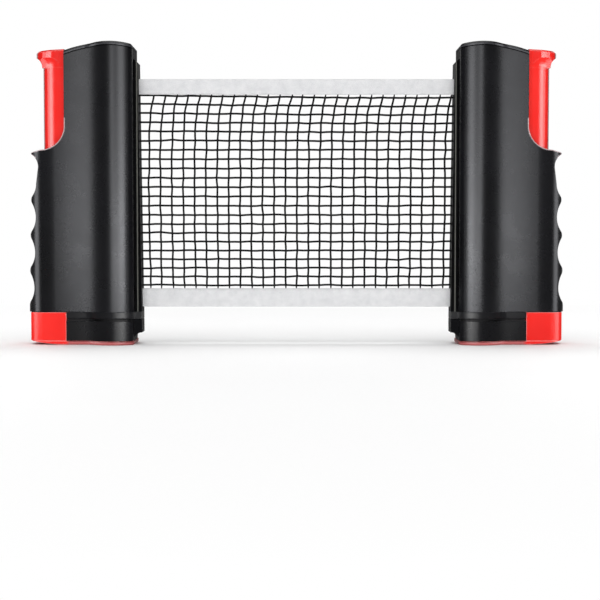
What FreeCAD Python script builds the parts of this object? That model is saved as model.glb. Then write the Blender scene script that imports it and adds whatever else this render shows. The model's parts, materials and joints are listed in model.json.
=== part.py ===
import FreeCAD, Part
import math
import os
from FreeCAD import Vector

# Retractable table tennis net: two mirrored clamp posts joined by the net that winds into them.
# Millimetres. X runs along the net, -Y is the front, Z is up, and the origin is on the floor in mid net.
# Every post piece is drawn round the axis of its own reel, with the net leaving toward +X.

# Driving dimensions of the whole set
NET_HEIGHT = 152.5          # regulation height of the net's top edge above the table
JAW_PLANE = 15.9            # where the closed jaws meet, above the floor
HALF_SPAN = 98.2            # mid net to the inner end of either post, net drawn in
DRUM_R = 19.0               # round housing over the reel
DRUM_X = 2.8                # its centre stands this far inboard of the reel's axis
FLAT_X = DRUM_X + 0.663 * DRUM_R    # flat inner face of the housing, from the reel's axis
BODY_REACH = 52.6           # reel's axis to the outer end of the grip
WALL = 2.5
FLAT_WALL = 2.0
CHAMBER_CORNER = 3.0
TRAVEL = 45.0               # how far the thumb lever opens the jaw

# Heights
BASE_T = 2.4
HOUSING_Z = JAW_PLANE + 4.9
FLOOR_T = 1.4
NET_TOP = JAW_PLANE + NET_HEIGHT
NET_BOTTOM = HOUSING_Z + 2.8
CREST_Z = NET_TOP + 21.9
CAP_T = 2.4
CAP_BEVEL = 1.1
TAB_HALF = 4.0
TRIM_TOP_Z = NET_TOP + 9.8

# Plan of the body: round drum, concave waist, slightly crowned grip with a rounded end
CORNER_R = 5.5
WAIST_R = 7.0
FLANK_R = 240.0             # crown of the grip's sides
FLANK_X = -25.0             # where the grip is thickest
GRIP_HALF = 12.0            # half of that thickness
END_R = 10.5

# Crowned top: one arc over housing and cap, a flatter one over the thumb head
CROWN_X = 0.0               # the crest stands here
CROWN_R = 80.0
HEAD_DROP = 3.6
HEAD_CROWN_R = 150.0
HEAD_BEVEL = 0.9

# Thumb lever, its channel and the notch that bares it
STEM_OUT = -BODY_REACH + 10.3
STEM_IN = STEM_OUT + 14.7
STEM_HALF = 7.6
STEM_CORNER = 5.2
STEM_WALL = 2.0
HEAD_TIP = STEM_OUT - 4.2
HEAD_HALF = 8.6
HEAD_FLARE = 6.5            # height of the cove under the head
HEAD_Z = NET_TOP + 12.6     # underside of the head
NOTCH_X = STEM_IN - 0.5     # the stem's inner edge runs in a shallow groove of this flank
NOTCH_R = 15.0
NOTCH_FLOOR = HEAD_Z - TRAVEL - 12.9    # the head stops this far above the notch's floor
CHANNEL_GAP = 0.35
FOOT_OUT = -BODY_REACH + 1.6
FOOT_IN = STEM_IN
FOOT_LIFT = 2.6             # the foot's underside rises this much toward its outer end
JAW_OUT = FOOT_IN + 0.4     # outer end of the fixed jaw, past which the foot slides

# Finger grooves down the outer edge of the grip
RIDGES = 4
LOW_RIDGE = 3.9             # the lowest ridge stands this far above the housing's floor
GROOVE_PITCH = 0.218 * (NOTCH_FLOOR - HOUSING_Z)
GROOVE_TOP_Z = HOUSING_Z + LOW_RIDGE + GROOVE_PITCH * (RIDGES - 1)
RIDGE_X = -BODY_REACH + 2.8
GROOVE_X = -BODY_REACH + 6.0
RIDGE_DRIFT = 0.7           # each ridge stands this much further out than the one above
RIDGE_R = 4.0
GRIP_TOP_X = -BODY_REACH + 7.7      # grip under the lip
GRIP_LOW_X = -BODY_REACH + 6.4      # grip above the first ridge
LIP_X = -BODY_REACH + 3.0

# Reel and its springs
ARBOR_R = 2.0
TUBE_R = 7.5
TUBE_T = 1.4
REEL_ROOM = min(FLAT_X - FLAT_WALL, DRUM_R - WALL - DRUM_X)     # from the axis to the nearest wall
FLANGE_R = REEL_ROOM - 0.5
ROLL_R = FLANGE_R - 0.5
FLANGE_T = 0.9
HUB_R = 3.5
SHELF_Z = NET_TOP + 2.2
SHELF_T = 1.4
CUP_R = REEL_ROOM - 0.2
CUP_T = 1.1
CUP_H = 10.6
SPIRAL_TURNS = 4
SPIRAL_T = 0.5
SPIRAL_STEPS = 20           # straight lengths in one turn
COIL_TURNS = 8
COIL_R = 4.2
COIL_WIRE = 1.3
LEDGE_Z = HOUSING_Z + 35.6
LEDGE_T = 4.0

# Net
CLOTH_T = 0.5
MESH_T = 0.8
TAPE_T = 1.3
TOP_TAPE_H = 9.8
BOTTOM_TAPE_H = 11.7
MESH_COLUMNS = 20
MESH_ROWS = 15
STRAND = 0.9
SLOT_HALF = 1.1

# Bumper strip and jaws
TRIM_TOP_X = FLAT_X + 2.4
TRIM_FOOT_X = FLAT_X + 4.4
TRIM_HALF = 8.5
NOSE_HALF = 7.3
NOSE_Z = 7.5
PAD_T = 1.5
PAD_PROUD = 0.85
PAD_INSET = 3.4
PAD_GAP = 0.3
PLATE_Z = JAW_PLANE + 0.15 + PAD_PROUD
BLOCK_TOP = JAW_PLANE - 0.15 - PAD_PROUD

# Fasteners
HOUSING_SCREW_X = STEM_IN + 3.4
HOUSING_SCREWS = 5
SCREW_R = 1.5
SCREW_HEAD_R = 2.5
BOSS_R = 3.1
PLATE_SCREW_PLACES = [(-FLANGE_R - 5.1, 5.5), (-FLANGE_R - 5.1, -5.5)]
BLOCK_SCREW_XS = [FOOT_IN + 11.6, DRUM_X + 2.2]

FAR = 400.0
REEL_X = HALF_SPAN + TRIM_FOOT_X
LEADER_END = FLAT_X - FLAT_WALL


# Plain geometry helpers
def arc(cx, cy, radius, start, end):
    middle = 0.5 * (start + end)
    points = [Vector(cx + radius * math.cos(a), cy + radius * math.sin(a), 0) for a in (start, middle, end)]
    return Part.Arc(*points).toShape()


def side_arc(cx, cz, radius, start, end):
    """Arc in the XZ plane, its angles counted from +X toward +Z."""
    middle = 0.5 * (start + end)
    points = [Vector(cx + radius * math.cos(a), 0, cz + radius * math.sin(a)) for a in (start, middle, end)]
    return Part.Arc(*points).toShape()


def line(a, b):
    return Part.makeLine(Vector(*a), Vector(*b))


def side_line(a, b):
    return Part.makeLine(Vector(a[0], 0, a[1]), Vector(b[0], 0, b[1]))


def ends(edge):
    """First and last point of an edge in XZ, the way it was drawn."""
    first = edge.valueAt(edge.FirstParameter)
    last = edge.valueAt(edge.LastParameter)
    return (first.x, first.z), (last.x, last.z)


def box(x0, x1, y0, y1, z0, z1):
    return Part.makeBox(x1 - x0, y1 - y0, z1 - z0, Vector(x0, y0, z0))


def post(radius, z0, z1, x=0.0, y=0.0):
    return Part.makeCylinder(radius, z1 - z0, Vector(x, y, z0))


def bolt_hole(radius, x, y0, y1, z):
    return Part.makeCylinder(radius, y1 - y0, Vector(x, y0, z), Vector(0, 1, 0))


def prism(wire, z0, z1):
    face = Part.Face(wire)
    face.translate(Vector(0, 0, z0))
    return face.extrude(Vector(0, 0, z1 - z0))


def outline(points):
    """Closed outline in plan from corner points."""
    corners = [Vector(x, y, 0) for x, y in points]
    return Part.makePolygon(corners + corners[:1])


def side_outline(points):
    """Closed outline in XZ from corner points."""
    corners = [Vector(x, 0, z) for x, z in points]
    return Part.makePolygon(corners + corners[:1])


def side_slab(wire, half=60.0):
    """Thickens an outline in the XZ plane to both sides of the middle plane."""
    face = Part.Face(wire)
    face.translate(Vector(0, -half, 0))
    return face.extrude(Vector(0, 2 * half, 0))


def upright_edges(shape, height):
    return [e for e in shape.Edges if e.BoundBox.ZLength > 0.9 * height]


# Plan and profile of the body
def body_plan(inset=0.0):
    """Closed plan outline: flat inner face, round drum, concave waist, crowned grip, round end."""
    radius = DRUM_R - inset
    flat = FLAT_X - inset
    corner = max(CORNER_R - inset, 0.8)
    corner_x = flat - corner
    corner_y = math.sqrt((radius - corner) ** 2 - (corner_x - DRUM_X) ** 2)
    corner_turn = math.atan2(corner_y, corner_x - DRUM_X)
    waist = waist_centre()
    waist_turn = math.atan2(waist.y, waist.x - DRUM_X)
    flank_y = GRIP_HALF - FLANK_R
    flank_start = math.atan2(waist.y - flank_y, waist.x - FLANK_X)
    end_x = -BODY_REACH + END_R
    end_y = flank_y + math.sqrt((FLANK_R - END_R) ** 2 - (end_x - FLANK_X) ** 2)
    flank_end = math.atan2(end_y - flank_y, end_x - FLANK_X)
    waist_start = waist_turn - math.pi
    waist_end = flank_start - math.pi

    def half(sign):
        return [
            arc(corner_x, sign * corner_y, corner, 0, sign * corner_turn),
            arc(DRUM_X, 0, radius, sign * corner_turn, sign * waist_turn),
            arc(waist.x, sign * waist.y, WAIST_R + inset, sign * waist_start, sign * waist_end),
            arc(FLANK_X, sign * flank_y, FLANK_R - inset, sign * flank_start, sign * flank_end),
            arc(end_x, sign * end_y, END_R - inset, sign * flank_end, sign * math.pi),
        ]

    tip = -BODY_REACH + inset
    closing = [
        line((flat, -corner_y, 0), (flat, corner_y, 0)),
        line((tip, -end_y, 0), (tip, end_y, 0)),
    ]
    return Part.Wire(Part.__sortEdges__(half(1) + half(-1) + closing))


def waist_centre():
    """Centre of the concave arc that touches both the drum and the grip's crowned side."""
    drum = Vector(DRUM_X, 0, 0)
    flank = Vector(FLANK_X, GRIP_HALF - FLANK_R, 0)
    apart = flank - drum
    from_drum = DRUM_R + WAIST_R
    from_flank = FLANK_R + WAIST_R
    along = (apart.Length ** 2 + from_drum ** 2 - from_flank ** 2) / (2 * apart.Length)
    across = math.sqrt(from_drum ** 2 - along ** 2)
    apart.normalize()
    return drum + apart * along + Vector(apart.y, -apart.x, 0) * across


def under_arc(centre_x, radius, top_z):
    """Everything under a wide arc whose highest point stands at centre_x."""
    reach = math.asin(min(70.0 / radius, 0.95))
    crown = side_arc(centre_x, top_z - radius, radius, math.pi / 2 - reach, math.pi / 2 + reach)
    (x0, z0), (x1, z1) = ends(crown)
    edges = [crown, side_line((x1, z1), (x1, 0)), side_line((x1, 0), (x0, 0)), side_line((x0, 0), (x0, z0))]
    return side_slab(Part.Wire(edges))


def under_crown(drop):
    return under_arc(CROWN_X, CROWN_R, CREST_Z - drop)


def crown_rim(shape, centre_x, radius, top_z):
    """Edges that bound the crowned face under such an arc."""

    def lies_on_it(edge):
        shares = (0.0, 0.25, 0.5, 0.75, 1.0)
        run = edge.LastParameter - edge.FirstParameter
        places = [edge.valueAt(edge.FirstParameter + share * run) for share in shares]
        return all(abs(math.hypot(p.x - centre_x, p.z - top_z + radius) - radius) < 0.01 for p in places)

    return [edge for edge in shape.Edges if lies_on_it(edge)]


def half_wave(ridge, groove):
    """Two tangent arcs from a ridge's tip to the bottom of a groove, both upright where they end."""
    rise = groove[1] - ridge[1]
    depth = groove[0] - ridge[0]
    turn = 2 * math.atan2(depth, abs(rise))
    groove_r = abs(rise) / math.sin(turn) - RIDGE_R
    way = 1 if rise > 0 else -1
    at_ridge = side_arc(ridge[0] + RIDGE_R, ridge[1], RIDGE_R, math.pi, math.pi - way * turn)
    at_groove = side_arc(groove[0] - groove_r, groove[1], groove_r, -way * turn, 0)
    return [at_ridge, at_groove]


def grip_profile():
    """Side view of the housing: ridged grip, hooked lip, rounded notch for the lever."""
    waves = []
    for i in range(RIDGES):
        ridge = (RIDGE_X - RIDGE_DRIFT * i, GROOVE_TOP_Z - GROOVE_PITCH * i)
        above = (GROOVE_X - RIDGE_DRIFT * (i - 1), ridge[1] + 0.5 * GROOVE_PITCH)
        below = (GROOVE_X - RIDGE_DRIFT * i, ridge[1] - 0.5 * GROOVE_PITCH)
        if i == 0:
            above = (GRIP_LOW_X, ridge[1] + 0.45 * GROOVE_PITCH)
        waves += half_wave(ridge, above)
        if i < RIDGES - 1:
            waves += half_wave(ridge, below)
    low = (RIDGE_X - RIDGE_DRIFT * (RIDGES - 1), GROOVE_TOP_Z - GROOVE_PITCH * (RIDGES - 1))
    high = (GRIP_LOW_X, GROOVE_TOP_Z + 0.45 * GROOVE_PITCH)
    lip_z = NOTCH_FLOOR - 2.6
    neck = (GRIP_TOP_X, lip_z - 9.0)
    under_lip = Part.Arc(
        Vector(neck[0], 0, neck[1]),
        Vector(GRIP_TOP_X - 1.1, 0, lip_z - 3.6),
        Vector(LIP_X + 0.5, 0, lip_z - 0.5),
    ).toShape()
    lip = Part.Arc(
        Vector(LIP_X + 0.5, 0, lip_z - 0.5),
        Vector(LIP_X, 0, lip_z + 0.4),
        Vector(LIP_X + 0.9, 0, lip_z + 1.1),
    ).toShape()
    notch_x = NOTCH_X - NOTCH_R
    notch = side_arc(notch_x, NOTCH_FLOOR + NOTCH_R, NOTCH_R, -math.pi / 2, 0)
    right = FLAT_X + 5
    top = CREST_Z + 5
    edges = waves + [
        side_line(high, neck),
        under_lip,
        lip,
        side_line((LIP_X + 0.9, lip_z + 1.1), (notch_x, NOTCH_FLOOR)),
        notch,
        side_line((NOTCH_X, NOTCH_FLOOR + NOTCH_R), (NOTCH_X, top)),
        side_line((NOTCH_X, top), (right, top)),
        side_line((right, top), (right, HOUSING_Z)),
        side_line((right, HOUSING_Z), (low[0], HOUSING_Z)),
        side_line((low[0], HOUSING_Z), low),
    ]
    return side_slab(Part.Wire(Part.__sortEdges__(edges)))


def chamber(z0, z1, inset=0.0):
    """Room for the reel: round, with the flat of the inner wall."""
    radius = DRUM_R - WALL - inset
    flat = FLAT_X - FLAT_WALL - inset
    room = post(radius, z0, z1, DRUM_X).common(box(-60, flat, -60, 60, z0, z1))
    corners = [e for e in upright_edges(room, z1 - z0) if e.BoundBox.XMin > flat - 0.1]
    return room.makeFillet(CHAMBER_CORNER, corners)


def stem_section(grow, z0, z1):
    """Plan of the lever's stem, rounded on its outer corners, grown by a clearance."""
    half = STEM_HALF + grow
    stem = box(STEM_OUT - grow, STEM_IN + grow, -half, half, z0, z1)
    corners = [e for e in upright_edges(stem, z1 - z0) if e.BoundBox.XMax < STEM_OUT + 1]
    return stem.makeFillet(STEM_CORNER + grow, corners)


def screw_heights():
    first = HOUSING_Z + 14.5
    step = (NET_TOP + 3.0 - first) / (HOUSING_SCREWS - 1)
    return [first + step * i for i in range(HOUSING_SCREWS)]


# Housing
def housing():
    """Both shells as one block, before they are parted down the middle."""
    body = prism(body_plan(), HOUSING_Z, CREST_Z + 4).common(grip_profile()).common(under_crown(CAP_T))
    body = body.cut(chamber(HOUSING_Z + FLOOR_T, CREST_Z + 9))
    body = body.cut(stem_section(CHANNEL_GAP, HOUSING_Z - 1, CREST_Z + 9))
    way_out = box(FLAT_X - 6, FLAT_X + 6, -2 * SLOT_HALF, 2 * SLOT_HALF, NET_BOTTOM - 0.8, NET_TOP + 1.6)
    body = body.cut(way_out)
    body = body.cut(post(ARBOR_R + 0.05, 0, HOUSING_Z + 9))
    within = prism(body_plan(1.0), 0, FAR)
    shelf = chamber(SHELF_Z, SHELF_Z + SHELF_T, -0.4).cut(post(8.6, 0, FAR))
    body = body.fuse(shelf.common(within))
    ledge = box(STEM_OUT + STEM_WALL + 0.9, STEM_IN + 0.9, -4.9, 4.9, LEDGE_Z, LEDGE_Z + LEDGE_T)
    body = body.fuse(ledge)
    for x, y in PLATE_SCREW_PLACES:
        boss = post(BOSS_R, HOUSING_Z + FLOOR_T - 0.2, HOUSING_Z + 8.5, x, y)
        body = body.fuse(boss.common(within))
        body = body.cut(post(SCREW_R, HOUSING_Z - 1, HOUSING_Z + 6.5, x, y))
    heights = screw_heights()
    for low, high in zip(heights, heights[1:]):
        pocket = box(STEM_IN + 1.6, DRUM_X - DRUM_R, -9.2, 9.2, low + 5, high - 5)
        body = body.cut(pocket)
    for z in heights:
        body = body.cut(bolt_hole(SCREW_R + 0.2, HOUSING_SCREW_X, -7.9, 9, z))
        body = body.cut(bolt_hole(SCREW_HEAD_R + 0.3, HOUSING_SCREW_X, 8.7, 30, z))
    return body.removeSplitter()


def housing_shell(block, front):
    y0, y1 = (-60, 0) if front else (0, 60)
    return block.common(box(-80, 60, y0, y1, 0, FAR))


def top_cap():
    """Crowned plate over the housing, with two tabs inside the shells and a socket for the arbor."""
    plate = prism(body_plan(), HOUSING_Z, CREST_Z + 4).common(box(NOTCH_X, 60, -60, 60, 0, FAR))
    plate = plate.cut(stem_section(CHANNEL_GAP, HOUSING_Z, CREST_Z + 9))
    plate = plate.common(under_crown(0)).cut(under_crown(CAP_T))
    plate = plate.makeChamfer(CAP_BEVEL, crown_rim(plate, CROWN_X, CROWN_R, CREST_Z))
    cup_top = SHELF_Z + SHELF_T + CUP_H
    socket = post(4.0, cup_top + 0.8, CREST_Z - 1).common(under_crown(CAP_T - 0.3))
    cap = plate.fuse(socket)
    corner_reach = math.sqrt((DRUM_R - WALL - 0.05) ** 2 - TAB_HALF ** 2)
    reach = min(DRUM_R - WALL - 0.6, corner_reach)
    for sign in (1, -1):
        y0, y1 = sorted([sign * (reach - 1.8), sign * reach])
        tab = box(DRUM_X - TAB_HALF, DRUM_X + TAB_HALF, y0, y1, cup_top + 0.5, CREST_Z - 1)
        cap = cap.fuse(tab.common(under_crown(CAP_T - 0.3)))
    return cap.cut(post(ARBOR_R + 0.05, 0, cup_top + 3.0)).removeSplitter()


def slot_trim():
    """Bumper strip with the net slot, its tongue reaching into the housing."""
    strip = side_slab(side_outline([
        (FLAT_X, HOUSING_Z),
        (TRIM_FOOT_X, HOUSING_Z),
        (TRIM_TOP_X, TRIM_TOP_Z),
        (FLAT_X, TRIM_TOP_Z + 2.2),
    ]))
    narrow = TRIM_HALF - 1.6
    face_x = FLAT_X + 5
    section = outline([(FLAT_X, -TRIM_HALF), (face_x, -narrow), (face_x, narrow), (FLAT_X, TRIM_HALF)])
    strip = strip.common(prism(section, 0, FAR))
    reach = 2 * SLOT_HALF - 0.1
    tongue = box(FLAT_X - 1.8, FLAT_X, -reach, reach, NET_BOTTOM - 0.7, NET_TOP + 1.5)
    slot = box(FLAT_X - 3, FLAT_X + 9, -SLOT_HALF, SLOT_HALF, NET_BOTTOM - 0.4, NET_TOP + 0.7)
    return strip.fuse(tongue).cut(slot).removeSplitter()


# Jaws
def jaw_area(inset, outer, z0, z1):
    """Plan of a table jaw: the body's plan, inboard of its outer end."""
    return prism(body_plan(inset), z0, z1).common(box(outer, 60, -60, 60, z0, z1))


def nose(z0, z1):
    """Tongue that carries the bumper strip's line down past the pads, to where the jaws meet."""
    return box(FLAT_X - PAD_INSET + 0.15, TRIM_FOOT_X, -NOSE_HALF, NOSE_HALF, z0, z1)


def jaw_plate():
    """Fixed upper jaw, screwed to the housing's floor through the pocket of its pad."""
    plate = jaw_area(0.3, JAW_OUT, PLATE_Z, HOUSING_Z)
    pocket_z = PLATE_Z + PAD_T - PAD_PROUD
    plate = plate.cut(jaw_area(PAD_INSET - 0.1, JAW_OUT - 1, PLATE_Z - 1, pocket_z))
    plate = plate.fuse(nose(JAW_PLANE + 0.15, HOUSING_Z))
    for x, y in PLATE_SCREW_PLACES:
        plate = plate.cut(post(SCREW_R + 0.2, 0, HOUSING_Z + 1, x, y))
        plate = plate.cut(post(SCREW_HEAD_R + 0.15, 0, pocket_z + 1.7, x, y))
    return plate.cut(post(ARBOR_R + 0.05, HOUSING_Z - 1.6, HOUSING_Z + 1)).removeSplitter()


def upper_pad():
    return jaw_area(PAD_INSET, JAW_OUT, PLATE_Z - PAD_PROUD, PLATE_Z - PAD_PROUD + PAD_T)


def jaw_block():
    """Hollow moving jaw on the lever's base, its pad let into the top and its nose coved below."""
    block = jaw_area(0.5, FOOT_IN, BASE_T, BLOCK_TOP)
    cove_r = NOSE_Z - BASE_T
    cove = side_arc(TRIM_FOOT_X, BASE_T - 0.4, cove_r + 0.4, math.pi / 2, math.pi * 0.96)
    (x0, z0), (x1, z1) = ends(cove)
    back = FLAT_X - PAD_INSET + 0.15
    top = JAW_PLANE - 0.15
    wire = Part.Wire(Part.__sortEdges__([
        cove,
        side_line((x1, z1), (back, z1)),
        side_line((back, z1), (back, top)),
        side_line((back, top), (x0, top)),
        side_line((x0, top), (x0, z0)),
    ]))
    hollow = prism(body_plan(3.6), BASE_T, BLOCK_TOP - 5.0).common(box(FOOT_IN + 3.2, 60, -60, 60, 0, FAR))
    for x in BLOCK_SCREW_XS:
        hollow = hollow.cut(post(4.2, 0, FAR, x, 0))
    rib_x = sum(BLOCK_SCREW_XS) / len(BLOCK_SCREW_XS)
    hollow = hollow.cut(box(rib_x - 1, rib_x + 1, -60, 60, 0, FAR))
    pocket = jaw_area(PAD_INSET - 0.1, FOOT_IN - 1, BLOCK_TOP - PAD_T + PAD_PROUD, BLOCK_TOP + 1)
    block = block.cut(hollow).cut(pocket).fuse(side_slab(wire, NOSE_HALF))
    for x in BLOCK_SCREW_XS:
        block = block.cut(post(SCREW_R, 0, BASE_T + 7.0, x, 0))
    return block.removeSplitter()


def lower_pad():
    return jaw_area(PAD_INSET, FOOT_IN, BLOCK_TOP + PAD_PROUD - PAD_T, BLOCK_TOP + PAD_PROUD)


# Lever
def lever_head():
    """Thumb head: flared outward over a cove, and a little to both sides at its outer end."""
    head = prism(outline([
        (HEAD_TIP, -HEAD_HALF),
        (STEM_IN - 8.5, -HEAD_HALF),
        (STEM_IN - 3.5, -STEM_HALF),
        (STEM_IN, -STEM_HALF),
        (STEM_IN, STEM_HALF),
        (STEM_IN - 3.5, STEM_HALF),
        (STEM_IN - 8.5, HEAD_HALF),
        (HEAD_TIP, HEAD_HALF),
    ]), HEAD_Z - HEAD_FLARE, CREST_Z)
    corners = [e for e in upright_edges(head, CREST_Z - HEAD_Z) if e.BoundBox.XMax < HEAD_TIP + 1]
    head = head.makeFillet(STEM_CORNER + 0.8, corners)

    def cove(overhang):
        """Profile of the flare, as the distance that it stands out at each height."""
        low = Vector(0, 0, HEAD_Z - HEAD_FLARE)
        middle = Vector(0.26 * overhang, 0, HEAD_Z - 0.38 * HEAD_FLARE)
        return low, middle, Vector(overhang, 0, HEAD_Z)

    low, middle, high = cove(STEM_OUT - HEAD_TIP)
    out = [Vector(STEM_OUT - p.x, 0, p.z) for p in (low, middle, high)]
    flare = Part.Arc(*out).toShape()
    left_x = HEAD_TIP - 4
    right_x = STEM_IN + 1
    wall = [(left_x, HEAD_Z), (left_x, FAR), (right_x, FAR), (right_x, low.z), (STEM_OUT, low.z)]
    closing = [side_line(a, b) for a, b in zip([(out[2].x, out[2].z)] + wall, wall)]
    head = head.common(side_slab(Part.Wire([flare] + closing)))

    low, middle, high = cove(HEAD_HALF - STEM_HALF)
    right = Part.Arc(*[Vector(0, STEM_HALF + p.x, p.z) for p in (low, middle, high)]).toShape()
    left = Part.Arc(*[Vector(0, -STEM_HALF - p.x, p.z) for p in (low, middle, high)]).toShape()
    rim = [(HEAD_HALF, high.z), (HEAD_HALF, FAR), (-HEAD_HALF, FAR), (-HEAD_HALF, high.z)]
    closing = [line((0, a[0], a[1]), (0, b[0], b[1])) for a, b in zip(rim, rim[1:])]
    closing.append(line((0, -STEM_HALF, low.z), (0, STEM_HALF, low.z)))
    face = Part.Face(Part.Wire(Part.__sortEdges__([right, left] + closing)))
    face.translate(Vector(-80, 0, 0))
    return head.common(face.extrude(Vector(120, 0, 0)))


def press_lever():
    """One moulding: thumb head, channel stem, foot block and the base under the jaw block."""
    foot_top = HOUSING_Z - PAD_GAP
    crest = CREST_Z - HEAD_DROP
    crown_x = STEM_IN + 6.0
    lever = stem_section(0, BASE_T, HEAD_Z - HEAD_FLARE + 0.5).fuse(lever_head())
    lever = lever.common(under_arc(crown_x, HEAD_CROWN_R, crest)).removeSplitter()
    lever = lever.makeChamfer(HEAD_BEVEL, crown_rim(lever, crown_x, HEAD_CROWN_R, crest))
    hollow = box(STEM_OUT + STEM_WALL, STEM_IN + 1, -5.6, 5.6, foot_top + 3, HEAD_Z - 4.0)
    lever = lever.cut(hollow)
    foot = prism(body_plan(0.4), 0, foot_top).common(box(FOOT_OUT, FOOT_IN, -60, 60, 0, FAR))
    base = prism(body_plan(), 0, BASE_T).common(box(FOOT_OUT, 60, -60, 60, 0, FAR))
    base = base.makeChamfer(0.7, [e for e in base.Edges if e.BoundBox.ZMax < 0.01])
    lever = lever.fuse(foot).fuse(base).cut(toe()).removeSplitter()
    for x in BLOCK_SCREW_XS:
        lever = lever.cut(post(SCREW_R + 0.2, -1, BASE_T + 1, x, 0))
        lever = lever.cut(post(SCREW_HEAD_R + 0.15, -1, 1.4, x, 0))
    return lever


def toe():
    """Wedge under the foot, which lifts its underside along an arc."""
    start = FOOT_IN + 3.0
    run = start - FOOT_OUT
    radius = (run * run + FOOT_LIFT * FOOT_LIFT) / (2 * FOOT_LIFT)
    turn = math.asin((run + 2.0) / radius)
    rise = side_arc(start, radius, radius, -math.pi / 2 - turn, -math.pi / 2)
    (x0, z0), (x1, z1) = ends(rise)
    below = [side_line((x0, z0), (x0, -5)), side_line((x0, -5), (x1, -5)), side_line((x1, -5), (x1, z1))]
    return side_slab(Part.Wire(Part.__sortEdges__([rise] + below)))


# Springs
def clamp_spring():
    """Square-wire coil between the housing's ledge and the lever's head."""
    bottom = LEDGE_Z + LEDGE_T + 0.5 * COIL_WIRE
    top = HEAD_Z - 4.0 - 0.5 * COIL_WIRE - 0.1
    x = 0.5 * (STEM_OUT + STEM_WALL + STEM_IN)
    pitch = (top - bottom) / COIL_TURNS
    edges = []
    for i in range(2 * COIL_TURNS):
        points = []
        for share in (0.0, 0.5, 1.0):
            turn = (i + share) * math.pi
            z = bottom + pitch * (i + share) / 2
            points.append(Vector(x + COIL_R * math.cos(turn), COIL_R * math.sin(turn), z))
        edges.append(Part.Arc(*points).toShape())
    half = 0.5 * COIL_WIRE
    square = [(-half, -half), (half, -half), (half, half), (-half, half)]
    corners = [Vector(x + COIL_R + a, 0, bottom + b) for a, b in square]
    shell = Part.BRepOffsetAPI.MakePipeShell(Part.Wire(edges))
    shell.add(Part.makePolygon(corners + corners[:1]))
    shell.build()
    shell.makeSolid()
    print("clamp spring, least gap between turns", round(pitch - COIL_WIRE, 2))
    return shell.shape()


def spiral_point(angle, inner, pitch, side):
    radius = inner + pitch * angle / (2 * math.pi) + side
    return radius * math.cos(angle), radius * math.sin(angle)


def power_spring():
    """Flat spiral band from the reel's hub to the cup's wall."""
    room = CUP_R - CUP_T - HUB_R - 0.1
    inner = HUB_R + 0.1 + 0.5 * SPIRAL_T
    pitch = (room - SPIRAL_T) / SPIRAL_TURNS
    steps = [2 * math.pi * i / SPIRAL_STEPS for i in range(SPIRAL_TURNS * SPIRAL_STEPS + 1)]
    outer_side = [spiral_point(a, inner, pitch, 0.5 * SPIRAL_T) for a in steps]
    inner_side = [spiral_point(a, inner, pitch, -0.5 * SPIRAL_T) for a in reversed(steps)]
    z0 = SHELF_Z + SHELF_T + CUP_T + 0.4
    print("power spring, least gap between turns", round(pitch - SPIRAL_T, 2))
    return prism(outline(outer_side + inner_side), z0, z0 + CUP_H - CUP_T - 1.4)


# Reel
def reel_arbor():
    return post(ARBOR_R, HOUSING_Z - 1.5, SHELF_Z + SHELF_T + CUP_H + 2.9)


def reel_tube():
    return post(TUBE_R, NET_BOTTOM, NET_TOP + 0.3).cut(post(TUBE_R - TUBE_T, 0, FAR))


def reel_lower_bush():
    flange = post(FLANGE_R, NET_BOTTOM - FLANGE_T, NET_BOTTOM)
    plug = post(TUBE_R - TUBE_T - 0.05, NET_BOTTOM, NET_BOTTOM + 10)
    return flange.fuse(plug).cut(post(ARBOR_R + 0.3, 0, FAR)).removeSplitter()


def reel_upper_bush():
    z = NET_TOP + 0.3
    flange = post(FLANGE_R, z, z + FLANGE_T)
    plug = post(TUBE_R - TUBE_T - 0.05, z - 10, z)
    hub = post(HUB_R, z, SHELF_Z + SHELF_T + CUP_H - 0.6)
    return flange.fuse(plug).fuse(hub).cut(post(ARBOR_R + 0.3, 0, FAR)).removeSplitter()


def wound_net():
    """Net still on the reel: a roll whose outer turn ends in a step, where the net runs off."""
    start = math.radians(60)
    edges = []
    for i in range(2):
        places = []
        for share in (0.0, 0.5, 1.0):
            radius = ROLL_R - CLOTH_T + CLOTH_T * (i + share) / 2
            turn = start + math.pi * (i + share)
            places.append(Vector(radius * math.cos(turn), radius * math.sin(turn), 0))
        edges.append(Part.Arc(*places).toShape())
    edges.append(Part.makeLine(edges[-1].Vertexes[-1].Point, edges[0].Vertexes[0].Point))
    roll = prism(Part.Wire(edges), NET_BOTTOM + 0.2, NET_TOP - 0.1)
    return roll.cut(post(TUBE_R, 0, FAR))


def spring_cup():
    z = SHELF_Z + SHELF_T
    cup = post(CUP_R, z, z + CUP_H).cut(post(CUP_R - CUP_T, z + CUP_T, FAR))
    return cup.cut(post(HUB_R + 0.9, 0, FAR))


# Fasteners
def pan_screw(x, y_tip, y_head, z):
    shank = bolt_hole(SCREW_R - 0.05, x, y_tip, y_head, z)
    return shank.fuse(bolt_hole(SCREW_HEAD_R, x, y_head, y_head + 1.9, z))


def jaw_screw(x, y, z_head, z_tip):
    shank = post(SCREW_R - 0.05, z_head + 0.5, z_tip, x, y)
    return shank.fuse(post(SCREW_HEAD_R, z_head, z_head + 1.2, x, y))


def housing_screws():
    return Part.makeCompound([pan_screw(HOUSING_SCREW_X, -7.4, 8.7, z) for z in screw_heights()])


def plate_screws():
    z = PLATE_Z + PAD_T - PAD_PROUD + 0.45
    return Part.makeCompound([jaw_screw(x, y, z, HOUSING_Z + 6.0) for x, y in PLATE_SCREW_PLACES])


def block_screws():
    return Part.makeCompound([jaw_screw(x, 0, 0.2, BASE_T + 6.5) for x in BLOCK_SCREW_XS])


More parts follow.
